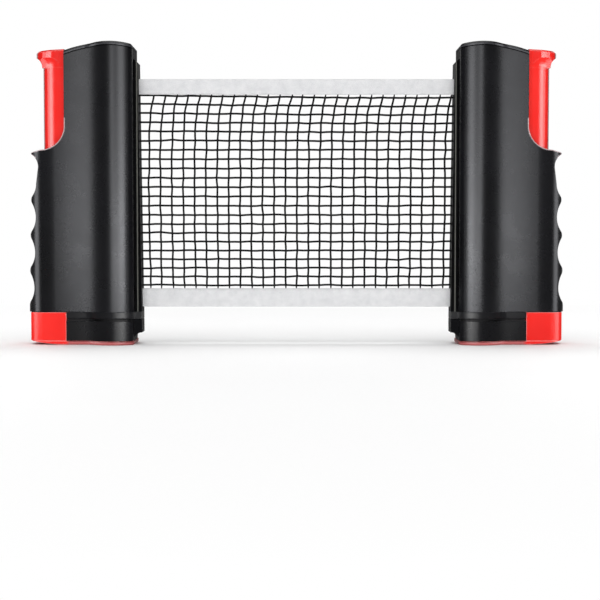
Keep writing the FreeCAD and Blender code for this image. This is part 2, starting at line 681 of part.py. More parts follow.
# Net, drawn across both posts
def leader(side):
    """Cloth that hugs the roll and turns into the slot."""
    inner = ROLL_R + 0.3
    z0 = NET_BOTTOM + 0.1
    wrap = post(inner + CLOTH_T, z0, NET_TOP).cut(post(inner, 0, FAR))
    wrap = wrap.common(prism(outline([(0, 0), (40, 0), (40, 34)]), 0, FAR))
    tab = box(inner, LEADER_END, -0.5 * CLOTH_T, 0.5 * CLOTH_T, z0, NET_TOP)
    return put(wrap.fuse(tab), side)


def net_mesh():
    """Knotless mesh as one face with its gaps, thickened, with a cloth leader at each end."""
    end = REEL_X - LEADER_END
    z0 = NET_BOTTOM + BOTTOM_TAPE_H
    z1 = NET_TOP - TOP_TAPE_H
    gap_end = HALF_SPAN - 0.5
    pitch_x = 2 * gap_end / MESH_COLUMNS
    pitch_z = (z1 - z0) / MESH_ROWS

    def frame(x0, x1, za, zb):
        places = [(x0, za), (x1, za), (x1, zb), (x0, zb), (x0, za)]
        return Part.makePolygon([Vector(x, -0.5 * MESH_T, z) for x, z in places])

    gaps = []
    for column in range(MESH_COLUMNS):
        for row in range(MESH_ROWS):
            x = -gap_end + pitch_x * column + 0.5 * STRAND
            z = z0 + pitch_z * row + 0.5 * STRAND
            gaps.append(frame(x, x + pitch_x - STRAND, z, z + pitch_z - STRAND))
    face = Part.makeFace([frame(-end, end, z0, z1)] + gaps, "Part::FaceMakerCheese")
    mesh = face.extrude(Vector(0, MESH_T, 0))
    return mesh.fuse([leader("left"), leader("right")])


def net_tape(z0, z1):
    """Folded tape over an edge of the mesh."""
    end = REEL_X - LEADER_END
    return box(-end, end, -0.5 * TAPE_T, 0.5 * TAPE_T, z0, z1)


def put(shape, side):
    """Moves a post piece to its side, the right one mirrored."""
    placed = shape.copy()
    placed.translate(Vector(-REEL_X, 0, 0))
    if side == "right":
        placed = placed.mirror(Vector(0, 0, 0), Vector(1, 0, 0))
    return placed


def save(name, shape):
    if not shape.isValid():
        print("not valid:", name)
    print(name, len(shape.Solids), round(shape.Volume, 1))
    shape.exportStep("parts/" + name + ".step")


def main():
    os.makedirs("parts", exist_ok=True)
    block = housing()
    pieces = {
        "housing_front": housing_shell(block, True),
        "housing_rear": housing_shell(block, False),
        "top_cap": top_cap(),
        "slot_trim": slot_trim(),
        "jaw_plate": jaw_plate(),
        "upper_pad": upper_pad(),
        "press_lever": press_lever(),
        "jaw_block": jaw_block(),
        "lower_pad": lower_pad(),
        "clamp_spring": clamp_spring(),
        "reel_arbor": reel_arbor(),
        "reel_tube": reel_tube(),
        "reel_lower_bush": reel_lower_bush(),
        "reel_upper_bush": reel_upper_bush(),
        "wound_net": wound_net(),
        "power_spring": power_spring(),
        "spring_cup": spring_cup(),
        "housing_screws": housing_screws(),
        "plate_screws": plate_screws(),
        "block_screws": block_screws(),
    }
    for side in ("left", "right"):
        for name, shape in pieces.items():
            save(side + "_" + name, put(shape, side))
    save("net_mesh", net_mesh())
    save("net_top_tape", net_tape(NET_TOP - TOP_TAPE_H, NET_TOP))
    save("net_bottom_tape", net_tape(NET_BOTTOM, NET_BOTTOM + BOTTOM_TAPE_H))


main()
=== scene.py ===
"""Looks, light and camera for the retractable table tennis net set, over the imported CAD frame. Metres."""
import json
import math
import random

import bmesh
import bpy
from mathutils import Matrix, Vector

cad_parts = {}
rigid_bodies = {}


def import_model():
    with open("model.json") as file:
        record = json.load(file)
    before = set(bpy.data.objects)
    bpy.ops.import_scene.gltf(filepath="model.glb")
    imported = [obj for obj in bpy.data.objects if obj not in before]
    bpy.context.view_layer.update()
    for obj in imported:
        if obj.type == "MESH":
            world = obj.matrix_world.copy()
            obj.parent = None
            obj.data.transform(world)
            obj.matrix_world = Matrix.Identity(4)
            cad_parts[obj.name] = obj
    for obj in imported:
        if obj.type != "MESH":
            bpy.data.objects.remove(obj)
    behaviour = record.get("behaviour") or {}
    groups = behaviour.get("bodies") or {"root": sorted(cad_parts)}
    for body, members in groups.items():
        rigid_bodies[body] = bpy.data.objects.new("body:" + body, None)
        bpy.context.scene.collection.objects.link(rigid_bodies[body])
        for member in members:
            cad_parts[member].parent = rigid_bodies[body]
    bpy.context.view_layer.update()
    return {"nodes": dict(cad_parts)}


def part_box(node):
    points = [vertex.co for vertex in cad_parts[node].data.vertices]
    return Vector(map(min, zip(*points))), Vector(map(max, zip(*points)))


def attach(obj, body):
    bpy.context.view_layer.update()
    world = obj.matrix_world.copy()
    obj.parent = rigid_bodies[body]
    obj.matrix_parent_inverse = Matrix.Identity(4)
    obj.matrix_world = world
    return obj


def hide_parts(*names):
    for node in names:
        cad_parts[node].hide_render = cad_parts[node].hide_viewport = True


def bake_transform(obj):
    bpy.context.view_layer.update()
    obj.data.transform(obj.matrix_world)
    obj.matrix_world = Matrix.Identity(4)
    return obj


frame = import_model()
NODES = frame["nodes"]
MM = 0.001
SIDES = {"left": -1, "right": 1}

# Places read from the frame
REEL_X = -0.5 * sum(corner.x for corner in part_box("left_reel_arbor"))
ROLL_SIDE = 12.2 * MM             # from the reel's axis to where the drawn net starts, at the roll
NET_END = REEL_X - ROLL_SIDE
SLOT_END = -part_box("left_slot_trim")[1].x
TOP_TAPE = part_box("net_top_tape")
BOTTOM_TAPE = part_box("net_bottom_tape")

# Net
ROWS = 22
ROW_TOP = TOP_TAPE[0].z - 0.5 * MM
ROW_LOW = BOTTOM_TAPE[1].z + 2.0 * MM
ROW_WIDEN = 0.07            # gaps between rows are up to this share wider,
ROW_EVEN = 16               # from the top one to this one
ROW_DIP = 1.6 * MM          # the top row is this much lower at the right, the rows below it less and less
DIP_ROWS = 6                # rows over which that fades out
DIP_RUN = 1.4               # and half spans over which it comes in, counted from the left post
COLUMNS = 27
COLUMN_PITCH = 7.26 * MM
STRAND_R = 0.65 * MM
SWAY = 3.7 * MM             # the top row is pulled this far to the right, the rows below it less and less
SWAY_ROWS = 2.2             # rows over which that falls to 37 percent
DRAW_IN = 0.012             # rows below LOW_ROW draw in, by this share for every LOW_ROW rows
LOW_ROW = 12
NET_SHIFT = 0.3 * MM        # the whole net stands this far to the right
KNOT_SHIFT = 0.16 * MM      # usual error of a knot's place in the net's plane, and of its depth
KNOT_DEPTH = 0.05 * MM
KNOT_SEED = 11
TUCK = 1.5 * MM             # upright strands go this far into the tapes
LEAN = (0.6 * MM, -0.1 * MM)        # and stand this far aside at their upper and lower ends
TIP = (0.4, 0.6)            # their radius in the tapes, as shares of STRAND_R
BOW = 0.1 * MM              # strands bow this far to front and back between knots
LEVEL_SLACK = 0.12 * MM     # level ones also up and down, upright ones to the sides,
UPRIGHT_SLACK = 0.1 * MM
LEVEL_WAVE = 1.7            # in waves with this many radians to a gap
UPRIGHT_WAVE = 2.3
STRAND_SIDES = 6
HALVINGS = 40

# Tapes, rolls and springs
CLOTH = 0.35 * MM           # thickness of the tapes
TAPE_STATIONS = 160
FACE_STEPS = 6              # steps of a tape's profile down each face and round its fold
FOLD_STEPS = 8
RIPPLE = 0.1 * MM
RIPPLE_WAVES = (310, 730)   # radians per metre
ROLL_TURNS = 9
ROLL_STEPS = 44
ROLL_GAP = 0.3 * MM         # the roll keeps this far inside its CAD form and off the reel's tube
ROLL_LOW_TAPE = 11.5 * MM   # heights of the tapes on the roll
ROLL_TOP_TAPE = 9.6 * MM
COIL_WIRE_R = 0.55 * MM
COIL_TURNS = 22
COIL_STEPS = 28
CLOSED_TURNS = 1.2          # turns that lie flat at each end of the spring

# Housing and lever: where they seem to turn, the arc of the crowned top, and the notch that bares the lever
GRIP_TURN = (REEL_X + 34.0 * MM, 38 * MM)       # where the grip starts to turn back, and with what radius
STEM_TURN = (REEL_X + 33.9 * MM, 14 * MM)       # the same for the lever's stem
WAIST = (REEL_X + 2.8 * MM, REEL_X + 16 * MM)
WAIST_TURN = (17, -1.6)     # degrees the surface seems to face outward at the two ends of the waist
TRIM_HIGHLIGHT = (SLOT_END + 2.2 * MM, SLOT_END + 2.8 * MM)      # painted highlight line down the slot's trim
INNER_FACE = -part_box("left_housing_front")[1].x + 0.6 * MM  # the dull side toward the other post
INNER_TURN = 2.5 * MM       # the housing is glossy this far outward of it
CROWN_R = 80 * MM
CROWN_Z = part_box("left_top_cap")[1].z - CROWN_R
CROWN_SIDE = 10 * MM        # height above the crown's centre from which the seam's painted shade is drawn in full
SEAM_DEPTH = 2.4 * MM       # depth below the crown of the seam under the cap
# depths below the crown of the painted shade in the seam
SEAM = (SEAM_DEPTH - 0.15 * MM, SEAM_DEPTH + 0.4 * MM)
# depths below the crown of the cap's painted highlight band
CAP_HIGHLIGHT = (1.15 * MM, SEAM_DEPTH - 0.3 * MM)
PARTING_LINE = (0.05 * MM, 0.16 * MM)           # from dark to plain, to either side of y = 0
GRAIN = 0.02 * MM           # height of the fine grain on moulded plastic
GRAIN_SCALE = 2600          # of its noise, per metre
NOTCH = (REEL_X + 27.0 * MM, 118 * MM, 143 * MM)            # inner side, foot and top
RIM_HIGHLIGHT_START = (7 * MM, 8.5 * MM)      # the painted highlight on the notch's rim starts this far from the parting line
STEM_IN = REEL_X + 27.6 * MM                    # inner side of the lever's stem
FOOT_TOP = 21 * MM
BASE_TOP = 2.4 * MM

# Photograph's view
VIEW_DISTANCE = 0.9
VIEW_AT = Vector((0.0023, 0.0, 0.0278))
VIEW_HEIGHT = 0.0436        # camera above the point it looks at
VIEW_WIDTH = 0.384          # width of the frame at the plane of the net

# Light and floor
ROOM_LEVEL = 0.1            # light from all round, where a softbox isn't
BEHIND = (0.994, 0.999)     # how straight back a mirrored ray has to look to meet the white background
LAMP_DISTANCE = 0.9         # front boxes, from the net's plane
GRIP_BOX = (-0.32, -0.12)   # from where to where along X they stretch, for what the left grip mirrors,
MIDDLE_BOX = (-0.12, 0.18)  # what lies between grip and drum,
DRUM_BOX = (0.18, 0.65)     # and what the drum mirrors
LOW_BOX = (0.0, 0.07)       # and from where to where in height
HIGH_BOX = (0.07, 0.42)
COOL = (0.95, 0.96, 1.0)
FLOOR_HALF = 6              # from its middle to a side
FLOOR_FADE = (0.22, 0.6)    # distances from the middle over which the floor turns to plain white


# Shader helpers
class Shader:
    """A material with its principled shader, and short calls for the nodes that feed it."""

    def __init__(self, name):
        self.material = bpy.data.materials.new(name)
        self.material.use_nodes = True
        self.tree = self.material.node_tree
        self.surface = self.tree.nodes["Principled BSDF"]
        self.place = self.tree.nodes.new("ShaderNodeTexCoord").outputs["Object"]

    def node(self, kind, inputs=None, **settings):
        made = self.tree.nodes.new("ShaderNode" + kind)
        for key, value in settings.items():
            setattr(made, key, value)
        for key, value in (inputs or {}).items():
            if isinstance(value, bpy.types.NodeSocket):
                self.tree.links.new(value, made.inputs[key])
            else:
                made.inputs[key].default_value = value
        return made

    def scaled(self, x, y, z):
        """Object coordinates, stretched."""
        return self.node("Mapping", {"Vector": self.place, "Scale": (x, y, z)}).outputs[0]

    def noise(self, scale, detail=2.0, rough=0.5, at=None):
        ends = {"Vector": at or self.place, "Scale": scale, "Detail": detail, "Roughness": rough}
        return self.node("TexNoise", ends).outputs["Fac"]

    def math(self, operation, a, b=0.0, c=0.0):
        return self.node("Math", {0: a, 1: b, 2: c}, operation=operation).outputs[0]

    def span(self, value, low, high, to_low=0.0, to_high=1.0):
        """value from low..high, taken to to_low..to_high and held there."""
        ends = {"Value": value, "From Min": low, "From Max": high, "To Min": to_low, "To Max": to_high}
        return self.node("MapRange", ends).outputs[0]

    def mix(self, share, a, b):
        return self.node("Mix", {0: share, 6: a, 7: b}, data_type="RGBA").outputs[2]

    def bump(self, height, distance, strength=1.0, normal=None):
        ends = {"Height": height, "Distance": distance, "Strength": strength}
        if normal is not None:
            ends["Normal"] = normal
        return self.node("Bump", ends).outputs[0]

    def within(self, value, low, high, soft=0.1 * MM):
        """1 where value lies between low and high."""
        return self.math("MULTIPLY", self.span(value, low - soft, low), self.span(value, high + soft, high))

    def soft_edges(self, radius, flat=0.98, turned=0.86):
        """Normal rounded at edges, and a mask that is 1 on an edge."""
        rounded = self.node("Bevel", {"Radius": radius}, samples=6).outputs[0]
        sharp = self.node("NewGeometry").outputs["Normal"]
        likeness = self.node("VectorMath", {0: rounded, 1: sharp}, operation="DOT_PRODUCT").outputs["Value"]
        return rounded, self.span(likeness, flat, turned)

    def turned_back(self, out, start, radius):
        """Height that makes a flat face seem to turn back outward of start."""
        past = self.math("MAXIMUM", self.math("SUBTRACT", out, start), 0.0)
        return self.math("MULTIPLY", self.math("MULTIPLY", past, past), -0.5 / radius)

    def set(self, **values):
        """Plain numbers go on the sockets, node outputs are linked to them."""
        for key, value in values.items():
            socket = self.surface.inputs[key.replace("_", " ")]
            if isinstance(value, bpy.types.NodeSocket):
                self.tree.links.new(value, socket)
            else:
                socket.default_value = value
        return self.material


def srgb(text):
    """Colour from its six hex digits, as linear values."""
    parts = [int(text[i:i + 2], 16) / 255 for i in (0, 2, 4)]
    return tuple(p / 12.92 if p <= 0.04045 else ((p + 0.055) / 1.055) ** 2.4 for p in parts) + (1.0,)


# Materials
def mottled(s, dark, light, worn, rubbed=1.0):
    """Mottled colour, paler where edges are rubbed, and a normal rounded at the edges."""
    rounded, edge = s.soft_edges(0.5 * MM)
    mottle = s.span(s.noise(22, 4), 0.35, 0.65)
    rub = s.math("MULTIPLY", edge, s.span(s.noise(260, 3), 0.38, 0.62))
    rub = s.math("MULTIPLY", rub, rubbed)
    plain = s.mix(mottle, srgb(dark), srgb(light))
    return s.mix(s.math("MULTIPLY", rub, 0.6), plain, srgb(worn)), rounded


def moulded(s, colour, gloss, shine, height, normal):
    """Surface of moulded plastic: smudges in its gloss, and a fine grain."""
    smudge = s.span(s.noise(70, 5, 0.6), 0.3, 0.7, gloss - 0.015, gloss + 0.03)
    return s.set(Base_Color=colour, Roughness=smudge, IOR=1.5, Specular_IOR_Level=shine,
                 Normal=s.bump(height, GRAIN, 1.0, normal))


def grey_moulding(name):
    """Dark grey moulding of the fixed jaws."""
    s = Shader(name)
    colour, rounded = mottled(s, "141416", "1B1B1E", "55565A")
    return moulded(s, colour, 0.3, 0.5, s.noise(GRAIN_SCALE, 2), rounded)


class Housing(Shader):
    """Black moulding, dull and unrubbed toward the other post, with painted shade in the seam under the cap.
    """

    def __init__(self, name):
        super().__init__(name)
        self.xyz = self.node("SeparateXYZ", {0: self.place}).outputs
        self.out = self.math("ABSOLUTE", self.xyz[0])
        self.outer = self.span(self.out, INNER_FACE, INNER_FACE + INNER_TURN)
        self.colour, self.rounded = mottled(self, "0E0E10", "151518", "3C3C40", self.outer)
        self.grain = self.noise(GRAIN_SCALE, 2)
        from_crest = self.math("SUBTRACT", self.out, REEL_X)
        rise = self.math("SUBTRACT", self.xyz[2], CROWN_Z)
        squares = (self.math("MULTIPLY", way, way) for way in (from_crest, rise))
        radius = self.math("SQRT", self.math("ADD", *squares))
        self.depth = self.math("SUBTRACT", CROWN_R, radius)
        # mask of the painted shade in the seam under the cap
        self.seam = self.math("MULTIPLY", self.within(self.depth, *SEAM), self.span(rise, 0.0, CROWN_SIDE))

    # paints shade (050506) into the seam under the cap
    def seam_shaded(self, colour):
        return self.mix(self.seam, colour, srgb("050506"))

    def glossy(self, colour, height, normal):
        dulled = self.span(self.outer, 0.0, 1.0, 0.1, 1.0)
        shine = self.math("MULTIPLY", self.span(self.seam, 0.0, 1.0, 0.5, 0.1), dulled)
        return moulded(self, self.seam_shaded(colour), 0.27, shine, height, normal)

    def soft_waist(self):
        """Normal that turns evenly from the drum to the grip, over the outside of the waist."""
        drum, grip = (math.radians(angle) for angle in WAIST_TURN)
        across = self.math("POWER", self.span(self.out, WAIST[1], WAIST[0]), 1.7)
        turn = self.math("MULTIPLY_ADD", across, drum - grip, grip)
        x = self.math("MULTIPLY", self.math("SIGN", self.xyz[0]), self.math("SINE", turn))
        y = self.math("MULTIPLY", self.math("SIGN", self.xyz[1]), self.math("COSINE", turn))
        even = self.node("CombineXYZ", {0: x, 1: y}).outputs[0]
        alike = self.node("VectorMath", {0: self.rounded, 1: even}, operation="DOT_PRODUCT").outputs["Value"]
        share = self.math("MULTIPLY", self.within(self.out, *WAIST), self.span(alike, 0.5, 0.7))
        return self.node("Mix", {0: share, 4: self.rounded, 5: even}, data_type="VECTOR").outputs[1]


def housing_cap(name):
    """Crowned cap, with a painted highlight band just above the seam."""
    s = Housing(name)
    # painted highlight: a paler band (3E3E41) on the cap's side, just above the seam
    highlight_band = s.math("MULTIPLY", s.within(s.depth, *CAP_HIGHLIGHT), 0.9)
    return s.glossy(s.mix(highlight_band, s.colour, srgb("3E3E41")), s.grain, s.rounded)


def slot_trim(name):
    """Trim of the net's slot: matt, with a painted highlight line down it."""
    s = Housing(name)
    # painted highlight: a pale line (8C8C86) down the trim
    colour = s.mix(s.within(s.out, *TRIM_HIGHLIGHT), s.colour, srgb("8C8C86"))
    return s.set(Base_Color=s.seam_shaded(colour), Roughness=0.5, Specular_IOR_Level=0.15,
                 Normal=s.bump(s.grain, GRAIN, 1.0, s.rounded))


def housing_shell(name):
    """Shells and lower jaws: parting line, soft turn of grip and waist, and a painted highlight on the rim
    round the notch.
    """
    s = Housing(name)
    normal = s.bump(s.turned_back(s.out, *GRIP_TURN), 1.0, 1.0, s.soft_waist())
    from_line = s.math("ABSOLUTE", s.xyz[1])
    plain = s.span(from_line, *PARTING_LINE)
    height = s.math("ADD", s.math("MULTIPLY", s.grain, 0.25), s.math("MULTIPLY", plain, 4.0))
    colour = s.mix(plain, srgb("060607"), s.colour)
    # painted highlight (EBD2D2) along the edge of the notch that bares the lever
    beside = s.span(s.out, NOTCH[0], NOTCH[0] + 0.5 * MM)
    notch = s.math("MULTIPLY", s.within(s.xyz[2], NOTCH[1], NOTCH[2]), beside)
    notch = s.math("MULTIPLY", notch, s.span(from_line, *RIM_HIGHLIGHT_START))
    rim = s.math("MULTIPLY", notch, s.soft_edges(1.3 * MM, 0.995, 0.95)[1])
    return s.glossy(s.mix(rim, colour, srgb("EBD2D2")), height, normal)


def gloss_red(name):
    """Polished red moulding: painted highlights where its edges catch light, painted shade where the stem
    meets the housing's flank and where it turns a corner, a painted reflection that makes the side of the
    base plate paler and duller, and a painted shade line along the top of the plate."""
    s = Shader(name)
    rounded, edge = s.soft_edges(0.9 * MM)
    xyz = s.node("SeparateXYZ", {0: s.place}).outputs
    out = s.math("ABSOLUTE", xyz[0])
    tint = s.mix(s.span(s.noise(16, 3), 0.35, 0.65), srgb("D81913"), srgb("E4211A"))
    # painted highlight (FFACA8) on the edges
    edge_highlight = s.math("MULTIPLY", edge, s.span(s.noise(300, 3), 0.35, 0.65, 0.5, 0.8))
    colour = s.mix(edge_highlight, tint, srgb("FFACA8"))
    stem = s.span(xyz[2], FOOT_TOP, FOOT_TOP + 0.2 * MM)
    # painted shade (2A0607) where the stem meets the housing's flank
    contact_shade = s.math("MULTIPLY", stem, s.span(out, STEM_IN + 1.3 * MM, STEM_IN + 0.9 * MM))
    colour = s.mix(contact_shade, colour, srgb("2A0607"))
    # painted shade (6E1113) where the stem turns a corner and faces sideways
    facing = s.node("SeparateXYZ", {0: s.node("NewGeometry").outputs["Normal"]}).outputs[0]
    corner = s.math("MULTIPLY", stem, s.within(s.math("ABSOLUTE", facing), 0.78, 0.985, 0.05))
    colour = s.mix(s.math("MULTIPLY", corner, 0.85), colour, srgb("6E1113"))
    # painted reflection (9C6667): the side of the base plate, inward of the stem, paler and duller
    inboard = s.span(out, STEM_IN + 0.4 * MM, STEM_IN - 2 * MM)
    plate = s.math("MULTIPLY", s.span(xyz[2], BASE_TOP, BASE_TOP - 0.3 * MM), inboard)
    colour = s.mix(s.math("MULTIPLY", plate, 0.75), colour, srgb("9C6667"))
    # painted shade (4A0A0C): a dark line along the top of the base plate, under the jaw block
    line = s.math("MULTIPLY", plate, s.within(xyz[2], BASE_TOP - 0.5 * MM, BASE_TOP + 0.1 * MM))
    colour = s.mix(line, colour, srgb("4A0A0C"))
    rough = s.span(s.noise(90, 5, 0.6), 0.3, 0.7, 0.19, 0.25)
    turn = s.math("MULTIPLY", s.turned_back(out, *STEM_TURN), stem)
    crowned = s.bump(turn, 1.0, 1.0, rounded)
    return s.set(Base_Color=colour, Roughness=rough, IOR=1.53,
                 Normal=s.bump(s.noise(480, 2), 0.00002, 0.6, crowned))


def rubber(name, dark, light):
    """Matt rubber with dust on it and paler edges."""
    s = Shader(name)
    rounded, edge = s.soft_edges(0.4 * MM)
    dust = s.span(s.noise(420, 5, 0.65), 0.45, 0.7)
    colour = s.mix(s.math("MULTIPLY", dust, 0.5), srgb(dark), srgb(light))
    colour = s.mix(s.math("MULTIPLY", edge, 0.6), colour, srgb("6A6A6D"))
    rough = s.span(s.noise(110, 4), 0.3, 0.7, 0.55, 0.72)
    normal = s.bump(s.noise(3400, 3), 0.00003, 1.0, rounded)
    return s.set(Base_Color=colour, Roughness=rough, IOR=1.5, Normal=normal)


def plated(name):
    """Zinc-plated steel with fine drawing marks."""
    s = Shader(name)
    marks = s.noise(900, 3, 0.6, s.scaled(1, 1, 9))
    colour = s.mix(s.span(s.noise(140, 4), 0.35, 0.7), srgb("A9ABB0"), srgb("CDCED2"))
    return s.set(Base_Color=colour, Metallic=1.0, Roughness=s.span(marks, 0.3, 0.7, 0.24, 0.42),
                 Normal=s.bump(marks, 0.00001, 0.7))


def milk_plastic(name):
    """White plastic of the reels and their spring cups."""
    s = Shader(name)
    rounded, edge = s.soft_edges(0.3 * MM)
    colour = s.mix(s.span(s.noise(60, 4), 0.3, 0.7), srgb("DAD8D0"), srgb("E9E7E1"))
    colour = s.mix(s.math("MULTIPLY", edge, 0.5), colour, srgb("F4F3EF"))
    return s.set(Base_Color=colour, Roughness=s.span(s.noise(200, 3), 0.3, 0.7, 0.38, 0.5),
                 Normal=s.bump(s.noise(1800, 2), 0.00002, 0.8, rounded))


def cotton_tape(name, pitch=0.52 * MM):
    """Plain-woven tape: warp and weft ridges over and under each other, with stray lint."""
    s = Shader(name)
    turn = 2 * math.pi / pitch
    xyz = s.node("SeparateXYZ", {0: s.place}).outputs
    wobble = s.math("MULTIPLY", s.math("SUBTRACT", s.noise(500, 2), 0.5), 1.1)
    warp = s.math("SINE", s.math("ADD", s.math("MULTIPLY", xyz[0], turn), wobble))
    weft = s.math("SINE", s.math("ADD", s.math("MULTIPLY", xyz[2], turn), wobble))
    weave = s.math("MULTIPLY_ADD", s.math("MULTIPLY", warp, weft), 0.5, 0.5)
    lint = s.noise(1500, 4, 0.7)
    shade = s.math("ADD", s.math("MULTIPLY", weave, 0.6), s.math("MULTIPLY", s.noise(170, 5, 0.65), 0.75))
    colour = s.mix(s.span(shade, 0.25, 0.95), srgb("D2D3D6"), srgb("FAFAFB"))
    height = s.math("MULTIPLY_ADD", lint, 0.5, weave)
    return s.set(Base_Color=colour, Roughness=s.span(lint, 0.3, 0.7, 0.78, 0.95), Sheen_Weight=0.25,
                 Sheen_Roughness=0.4, Normal=s.bump(height, 0.00009, 0.8))


def twisted_yarn(name):
    """Black nylon yarn with the slant of its twist."""
    s = Shader(name)
    xyz = s.node("SeparateXYZ", {0: s.place}).outputs
    slant = s.math("ADD", s.math("ADD", xyz[0], xyz[2]), s.math("MULTIPLY", xyz[1], 2.0))
    ply = s.math("SINE", s.math("MULTIPLY", slant, 2 * math.pi / (0.75 * MM)))
    fuzz = s.noise(2500, 4, 0.7)
    colour = s.mix(s.span(s.math("ADD", ply, fuzz), -0.6, 1.6), srgb("050506"), srgb("19191B"))
    height = s.math("MULTIPLY_ADD", fuzz, 0.6, ply)
    return s.set(Base_Color=colour, Roughness=s.span(fuzz, 0.3, 0.7, 0.7, 0.9), Specular_IOR_Level=0.25,
                 Sheen_Weight=0.06, Sheen_Roughness=0.5, Normal=s.bump(height, 0.00006, 0.8))


FINISH = {
    "black_plastic": housing_shell("black_plastic_finish"),
    "cap": housing_cap("cap_finish"),
    "trim": slot_trim("trim_finish"),
    "grey_plastic": grey_moulding("grey_plastic_finish"),
    "red_plastic": gloss_red("red_plastic_finish"),
    "black_rubber": rubber("black_rubber_finish", "0D0D0F", "29292C"),
    "white_plastic": milk_plastic("white_plastic_finish"),
    "steel": plated("steel_finish"),
    "net_fabric": twisted_yarn("net_yarn_finish"),
    "white_tape": cotton_tape("tape_finish"),
}


def repaint_frame():
    """Gives each CAD node the finish of its slot, and caps and slot trims one of their own."""
    for node in NODES.values():
        slot = node.data.materials[0].name
        own = [kind for kind, part in (("cap", "top_cap"), ("trim", "slot_trim")) if part in node.name]
        node.data.materials[0] = FINISH[own[0] if own else slot]


# Mesh helpers
def piece(name, mesh_maker, slot):
    """Object from a function that fills a bmesh."""
    mesh = bpy.data.meshes.new(name)
    bm = bmesh.new()
    mesh_maker(bm)
    bm.to_mesh(mesh)
    bm.free()
    mesh.polygons.foreach_set("use_smooth", [True] * len(mesh.polygons))
    obj = bpy.data.objects.new(name, mesh)
    bpy.context.scene.collection.objects.link(obj)
    mesh.materials.append(FINISH[slot])
    return obj


def tube(bm, points, radius, sides=8):
    """Sweeps a round section along points; radius may be a number or one for each point."""
    rings = []
    side = None
    for i, point in enumerate(points):
        ahead = (points[min(i + 1, len(points) - 1)] - points[max(i - 1, 0)]).normalized()
        if side is None:
            side = ahead.orthogonal().normalized()
        side = (side - ahead * side.dot(ahead)).normalized()
        up = ahead.cross(side)
        r = radius[i] if isinstance(radius, list) else radius
        turns = [2 * math.pi * k / sides for k in range(sides)]
        spots = [point + side * (r * math.cos(a)) + up * (r * math.sin(a)) for a in turns]
        rings.append([bm.verts.new(spot) for spot in spots])
    for a, b in zip(rings, rings[1:]):
        for k in range(sides):
            bm.faces.new((a[k], a[(k + 1) % sides], b[(k + 1) % sides], b[k]))
    bm.faces.new(list(reversed(rings[0])))
    bm.faces.new(rings[-1])


# Net between the posts
def row_heights():
    """Heights of the level strands, a little further apart above ROW_EVEN."""
    gaps = [1 + ROW_WIDEN * math.sin(math.pi * min(i / ROW_EVEN, 1)) for i in range(ROWS - 1)]
    step = (ROW_TOP - ROW_LOW) / sum(gaps)
    heights = [ROW_TOP]
    for gap in gaps:
        heights.append(heights[-1] - gap * step)
    return heights


def knots():
    """Where strands cross, row by row. The top rows are pulled to the right, where they also dip, and every
    knot is a little off the grid."""
    dice = random.Random(KNOT_SEED)
    grid = []
    for row, z in enumerate(row_heights()):
        sway = SWAY * math.exp(-row / SWAY_ROWS)
        dip = ROW_DIP * max(0.0, 1 - row / DIP_ROWS)
        draw = DRAW_IN * max(0.0, row / LOW_ROW - 1)
        line = []
        for column in range(COLUMNS):
            x = (column - 0.5 * (COLUMNS - 1)) * COLUMN_PITCH * (1 - draw)
            share = min(max(x / SLOT_END + 1, 0.0), DIP_RUN) / DIP_RUN
            spot = x + sway + NET_SHIFT + dice.gauss(0, KNOT_SHIFT)
            depth = dice.gauss(0, KNOT_DEPTH)
            line.append(Vector((spot, depth, z - dip * share + dice.gauss(0, KNOT_SHIFT))))
        grid.append(line)
    return grid


def fill_rows(bm, grid):
    """All level strands."""
    for line in grid:
        left, right = (Vector((sign * NET_END, 0, line[0 if sign < 0 else -1].z)) for sign in (-1, 1))
        stops = [left] + line + [right]
        points = []
        for i, (a, b) in enumerate(zip(stops, stops[1:])):
            slack = LEVEL_SLACK * math.sin(LEVEL_WAVE * i)
            points += [a, a.lerp(b, 0.5) + Vector((0, BOW * (-1) ** i, slack))]
        tube(bm, points + [right], STRAND_R, STRAND_SIDES)


def fill_upright(bm, column):
    """One upright strand through the knots of its column, thinner where it goes into the tapes."""
    head = Vector((column[0].x + LEAN[0], 0, TOP_TAPE[0].z + TUCK))
    foot = Vector((column[-1].x + LEAN[1], 0, BOTTOM_TAPE[1].z - TUCK))
    stops = [head] + list(column) + [foot]
    points = []
    for i, (a, b) in enumerate(zip(stops, stops[1:])):
        slack = UPRIGHT_SLACK * math.sin(UPRIGHT_WAVE * i)
        points += [a, a.lerp(b, 0.5) + Vector((slack, -BOW * (-1) ** i, 0))]
    tip = [share * STRAND_R for share in TIP]
    girths = tip + [STRAND_R] * (len(points) - 3) + tip[::-1]
    tube(bm, points + [foot], girths, STRAND_SIDES)


def across(obj):
    """The net's pieces stretch from one post to the other."""
    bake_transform(obj)


def carried(obj, share):
    """Finds by halving where a blend's weight, a smooth step along its length, is that share of the right
    post's travel, and bakes obj's transform; the place found is not used and obj is not carried."""
    low, high = 0.0, 1.0
    for _ in range(HALVINGS):
        middle = 0.5 * (low + high)
        if middle * middle * (3 - 2 * middle) < share:
            low = middle
        else:
            high = middle
    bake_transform(obj)


def make_net():
    """Level strands as one piece across the net, and each upright strand as a piece of its own."""
    grid = knots()
    net = piece("net_strands", lambda bm: fill_rows(bm, grid), "net_fabric")
    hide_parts("net_mesh")
    across(net)
    for i, column in enumerate(zip(*grid)):
        upright = piece("net_upright_%02d" % (i + 1), lambda bm: fill_upright(bm, column), "net_fabric")
        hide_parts("net_mesh")
        carried(upright, (i + 0.5) / COLUMNS)


